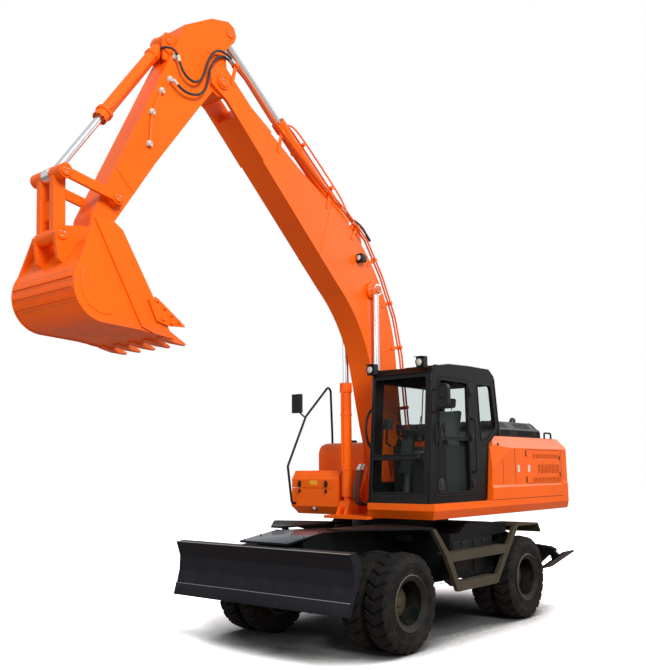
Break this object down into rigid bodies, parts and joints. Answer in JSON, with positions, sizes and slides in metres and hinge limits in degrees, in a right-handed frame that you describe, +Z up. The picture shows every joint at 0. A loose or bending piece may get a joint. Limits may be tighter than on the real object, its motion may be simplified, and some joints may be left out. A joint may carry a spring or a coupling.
{
  "type": "wheeled excavator",
  "caption": "Wheeled excavator on twin tyres with a front dozer blade, rear outriggers, a one-piece boom, dig arm and toothed bucket, a glazed cab and opening doors and hood",
  "frame": {"origin": "On the ground under the middle of the bounding box; the slew axis stands 1.300 m behind it on the centre line.", "axes": "+X points forward, to the blade and bucket; +Y to the cab side; +Z up."},
  "size_m": [8.1872, 2.876, 6.93],
  "materials": {
    "body_orange": "semi-gloss coat over sheet steel",
    "chassis_black": "satin black coat",
    "step_khaki": "satin grey-brown coat",
    "rim_khaki": "satin grey-brown coat",
    "tyre": "matt rubber",
    "chrome": "polished rod",
    "cab_black": "semi-gloss black coat",
    "glass": "clear, lightly tinted",
    "seat_fabric": "woven cloth",
    "black_plastic": "grained black",
    "hose_black": "braided rubber",
    "engine_grey": "painted casting"
  },
  "bodies": {
    "chassis": {"chassis_frame": "chassis_black", "chassis_sides": "chassis_black", "side_steps": "step_khaki", "front_axle": "chassis_black", "rear_axle": "chassis_black"},
    "knuckle_left": {"knuckle_left": "chassis_black"},
    "knuckle_right": {"knuckle_right": "chassis_black"},
    "wheels_front_left": {"tyres_front_left": "tyre", "rims_front_left": "rim_khaki"},
    "wheels_front_right": {"tyres_front_right": "tyre", "rims_front_right": "rim_khaki"},
    "wheels_rear_left": {"tyres_rear_left": "tyre", "rims_rear_left": "rim_khaki"},
    "wheels_rear_right": {"tyres_rear_right": "tyre", "rims_rear_right": "rim_khaki"},
    "blade_arms": {"blade_arms": "chassis_black"},
    "blade_links": {"blade_links": "chassis_black"},
    "blade": {"blade": "chassis_black"},
    "blade_barrels": {"blade_barrels": "chassis_black"},
    "blade_rods": {"blade_rods": "chrome"},
    "upper": {"platform": "body_orange", "counterweight": "body_orange", "engine_housing": "body_orange", "engine_block": "engine_grey", "fuel_tank": "body_orange", "toolbox": "body_orange", "cab_shell": "cab_black", "cab_glass": "glass", "seat": "seat_fabric", "cab_console": "black_plastic", "fittings": "black_plastic"},
    "hood": {"hood": "black_plastic"},
    "toolbox_lid": {"toolbox_lid": "body_orange"},
    "side_door_left": {"side_door_left": "body_orange"},
    "side_door_right": {"side_door_right": "body_orange"},
    "cab_door": {"cab_door": "cab_black", "door_glass": "glass"},
    "boom": {"boom": "body_orange", "boom_pipes": "body_orange", "arm_hose_upper": "hose_black", "arm_hose_lower": "hose_black"},
    "boom_barrels": {"boom_barrels": "body_orange"},
    "boom_rods": {"boom_rods": "chrome"},
    "arm": {"arm": "body_orange", "arm_pipes": "body_orange"},
    "arm_barrel": {"arm_barrel": "body_orange"},
    "arm_rod": {"arm_rod": "chrome"},
    "bucket": {"bucket": "body_orange"},
    "rocker": {"rocker": "body_orange"},
    "h_link": {"h_link": "body_orange"},
    "bucket_barrel": {"bucket_barrel": "body_orange"},
    "bucket_rod": {"bucket_rod": "chrome"},
    "outrigger_leg_left": {"outrigger_leg_left": "chassis_black"},
    "outrigger_pad_left": {"outrigger_pad_left": "chassis_black"},
    "outrigger_barrel_left": {"outrigger_barrel_left": "chassis_black"},
    "outrigger_rod_left": {"outrigger_rod_left": "chrome"},
    "outrigger_leg_right": {"outrigger_leg_right": "chassis_black"},
    "outrigger_pad_right": {"outrigger_pad_right": "chassis_black"},
    "outrigger_barrel_right": {"outrigger_barrel_right": "chassis_black"},
    "outrigger_rod_right": {"outrigger_rod_right": "chrome"}
  },
  "joints": [
    {"name": "steer_left", "type": "hinge", "parent": "chassis", "child": "knuckle_left", "pos_m": [0.3, 0.54, 0.527], "axis": [0, 0, 1], "range_deg": [-28, 28]},
    {"name": "steer_right", "type": "hinge", "parent": "chassis", "child": "knuckle_right", "pos_m": [0.3, -0.54, 0.527], "axis": [0, 0, 1], "range_deg": [-28.1, 28.1]},
    {"name": "wheels_front_left_spin", "type": "hinge", "parent": "knuckle_left", "child": "wheels_front_left", "pos_m": [0.3, 0.9455, 0.527], "axis": [0, 1, 0], "continuous": true},
    {"name": "wheels_rear_left_spin", "type": "hinge", "parent": "chassis", "child": "wheels_rear_left", "pos_m": [-2.43, 0.9455, 0.527], "axis": [0, 1, 0], "continuous": true},
    {"name": "wheels_front_right_spin", "type": "hinge", "parent": "knuckle_right", "child": "wheels_front_right", "pos_m": [0.3, -0.9455, 0.527], "axis": [0, 1, 0], "continuous": true},
    {"name": "wheels_rear_right_spin", "type": "hinge", "parent": "chassis", "child": "wheels_rear_right", "pos_m": [-2.43, -0.9455, 0.527], "axis": [0, 1, 0], "continuous": true},
    {"name": "blade_lift", "type": "hinge", "parent": "chassis", "child": "blade_arms", "pos_m": [0.84, 0, 0.5], "axis": [0, 1, 0], "range_deg": [0, 88]},
    {"name": "blade_links_turn", "type": "hinge", "parent": "chassis", "child": "blade_links", "pos_m": [0.79, 0, 0.76], "axis": [0, 1, 0], "range_deg": [-0.1, 88.1]},
    {"name": "blade_turn", "type": "hinge", "parent": "blade_arms", "child": "blade", "pos_m": [1.14, 0, 0.79], "axis": [0, 1, 0], "range_deg": [-88.1, 0.1]},
    {"name": "blade_barrels_turn", "type": "hinge", "parent": "chassis", "child": "blade_barrels", "pos_m": [0.5, 0, 1.01], "axis": [0, 1, 0], "range_deg": [-0.1, 31.78]},
    {"name": "blade_rods_slide", "type": "slide", "parent": "blade_barrels", "child": "blade_rods", "axis": [0.9457, 0, -0.3251], "range_m": [-0.0001, 0.3904]},
    {"name": "outrigger_left", "type": "hinge", "parent": "chassis", "child": "outrigger_leg_left", "pos_m": [-3.32, 0.42, 0.62], "axis": [-1, 0, 0], "range_deg": [0, 58]},
    {"name": "outrigger_pad_left_swing", "type": "hinge", "parent": "outrigger_leg_left", "child": "outrigger_pad_left", "pos_m": [-3.32, 1.18, 0.79], "axis": [1, 0, 0], "range_deg": [-12, 24]},
    {"name": "outrigger_barrel_left_turn", "type": "hinge", "parent": "chassis", "child": "outrigger_barrel_left", "pos_m": [-3.32, 0.33, 1.04], "axis": [-1, 0, 0], "range_deg": [-0.1, 33.27]},
    {"name": "outrigger_rod_left_slide", "type": "slide", "parent": "outrigger_barrel_left", "child": "outrigger_rod_left", "axis": [0, 0.9216, -0.3881], "range_m": [-0.0001, 0.2827]},
    {"name": "outrigger_right", "type": "hinge", "parent": "chassis", "child": "outrigger_leg_right", "pos_m": [-3.32, -0.42, 0.62], "axis": [1, 0, 0], "range_deg": [0, 58]},
    {"name": "outrigger_pad_right_swing", "type": "hinge", "parent": "outrigger_leg_right", "child": "outrigger_pad_right", "pos_m": [-3.32, -1.18, 0.79], "axis": [-1, 0, 0], "range_deg": [-12, 24]},
    {"name": "outrigger_barrel_right_turn", "type": "hinge", "parent": "chassis", "child": "outrigger_barrel_right", "pos_m": [-3.32, -0.33, 1.04], "axis": [1, 0, 0], "range_deg": [-0.1, 33.27]},
    {"name": "outrigger_rod_right_slide", "type": "slide", "parent": "outrigger_barrel_right", "child": "outrigger_rod_right", "axis": [0, -0.9216, -0.3881], "range_m": [-0.0001, 0.2827]},
    {"name": "slew", "type": "hinge", "parent": "chassis", "child": "upper", "pos_m": [-1.3, 0, 1.363], "axis": [0, 0, 1], "continuous": true},
    {"name": "hood_lift", "type": "hinge", "parent": "upper", "child": "hood", "pos_m": [-2.43, 0, 2.374], "axis": [0, 1, 0], "range_deg": [0, 60]},
    {"name": "toolbox_lid_lift", "type": "hinge", "parent": "upper", "child": "toolbox_lid", "pos_m": [-1.036, -0.88, 1.934], "axis": [0, -1, 0], "range_deg": [0, 75]},
    {"name": "side_door_left_swing", "type": "hinge", "parent": "upper", "child": "side_door_left", "pos_m": [-2.573, 1.221, 1.965], "axis": [0, 0, -1], "range_deg": [0, 80]},
    {"name": "side_door_right_swing", "type": "hinge", "parent": "upper", "child": "side_door_right", "pos_m": [-2.573, -1.221, 1.965], "axis": [0, 0, 1], "range_deg": [0, 80]},
    {"name": "cab_door_swing", "type": "hinge", "parent": "upper", "child": "cab_door", "pos_m": [-1.198, 1.165, 2.33], "axis": [0, 0, 1], "range_deg": [0, 95]},
    {"name": "boom_lift", "type": "hinge", "parent": "upper", "child": "boom", "pos_m": [-1.1, -0.05, 1.85], "axis": [0, -1, 0], "range_deg": [-72, 8]},
    {"name": "boom_barrels_turn", "type": "hinge", "parent": "upper", "child": "boom_barrels", "pos_m": [-0.56, -0.05, 1.472], "axis": [0, -1, 0], "range_deg": [-70.14, 7.88]},
    {"name": "boom_rods_slide", "type": "slide", "parent": "boom_barrels", "child": "boom_rods", "axis": [0, 0, 1], "range_m": [-0.7739, 0.0861]},
    {"name": "arm_swing", "type": "hinge", "parent": "boom", "child": "arm", "pos_m": [2.11, -0.05, 6.15], "axis": [0, 1, 0], "range_deg": [-75, 25]},
    {"name": "arm_barrel_turn", "type": "hinge", "parent": "boom", "child": "arm_barrel", "pos_m": [-0.36, -0.05, 5.03], "axis": [0, 1, 0], "range_deg": [-0.1636, 0.2909]},
    {"name": "arm_rod_slide", "type": "slide", "parent": "arm_barrel", "child": "arm_rod", "axis": [0.795, 0, 0.6066], "range_m": [-0.7723, 0.2575]},
    {"name": "bucket_curl", "type": "hinge", "parent": "arm", "child": "bucket", "pos_m": [3.6, -0.05, 4.05], "axis": [0, 1, 0], "range_deg": [-80, 50]},
    {"name": "rocker_turn", "type": "hinge", "parent": "arm", "child": "rocker", "pos_m": [3.445, -0.05, 4.48], "axis": [0, 1, 0], "range_deg": [-47, 29.41]},
    {"name": "h_link_turn", "type": "hinge", "parent": "rocker", "child": "h_link", "pos_m": [4.015, -0.05, 4.585], "axis": [0, 1, 0], "range_deg": [-25.44, 40.64]},
    {"name": "bucket_barrel_turn", "type": "hinge", "parent": "arm", "child": "bucket_barrel", "pos_m": [2.8, -0.05, 6.38], "axis": [0, 1, 0], "range_deg": [-3.48, 2.21]},
    {"name": "bucket_rod_slide", "type": "slide", "parent": "bucket_barrel", "child": "bucket_rod", "axis": [0.5605, 0, -0.8281], "range_m": [-0.4405, 0.2753]}
  ],
  "couplings": [
    {"joint": "steer_right", "follows": "steer_left", "ratio": 1},
    {"joint": "blade_links_turn", "follows": "blade_lift", "ratio": 1},
    {"joint": "blade_turn", "follows": "blade_lift", "ratio": -1},
    {"joint": "blade_barrels_turn", "follows": "blade_lift", "ratio": 0.35996},
    {"joint": "blade_rods_slide", "follows": "blade_lift", "m_per_rad": 0.25415},
    {"joint": "outrigger_barrel_left_turn", "follows": "outrigger_left", "ratio": 0.57197},
    {"joint": "outrigger_rod_left_slide", "follows": "outrigger_left", "m_per_rad": 0.27919},
    {"joint": "outrigger_barrel_right_turn", "follows": "outrigger_right", "ratio": 0.57197},
    {"joint": "outrigger_rod_right_slide", "follows": "outrigger_right", "m_per_rad": 0.27919},
    {"joint": "boom_barrels_turn", "follows": "boom_lift", "ratio": 0.97278},
    {"joint": "boom_rods_slide", "follows": "boom_lift", "m_per_rad": 0.61577},
    {"joint": "arm_barrel_turn", "follows": "arm_swing", "ratio": -0.002546},
    {"joint": "arm_rod_slide", "follows": "arm_swing", "m_per_rad": 0.58995},
    {"joint": "rocker_turn", "follows": "bucket_curl", "ratio": 0.58621},
    {"joint": "h_link_turn", "follows": "bucket_curl", "ratio": -0.50671},
    {"joint": "bucket_barrel_turn", "follows": "bucket_curl", "ratio": 0.0422},
    {"joint": "bucket_rod_slide", "follows": "bucket_curl", "m_per_rad": 0.31539}
  ]
}
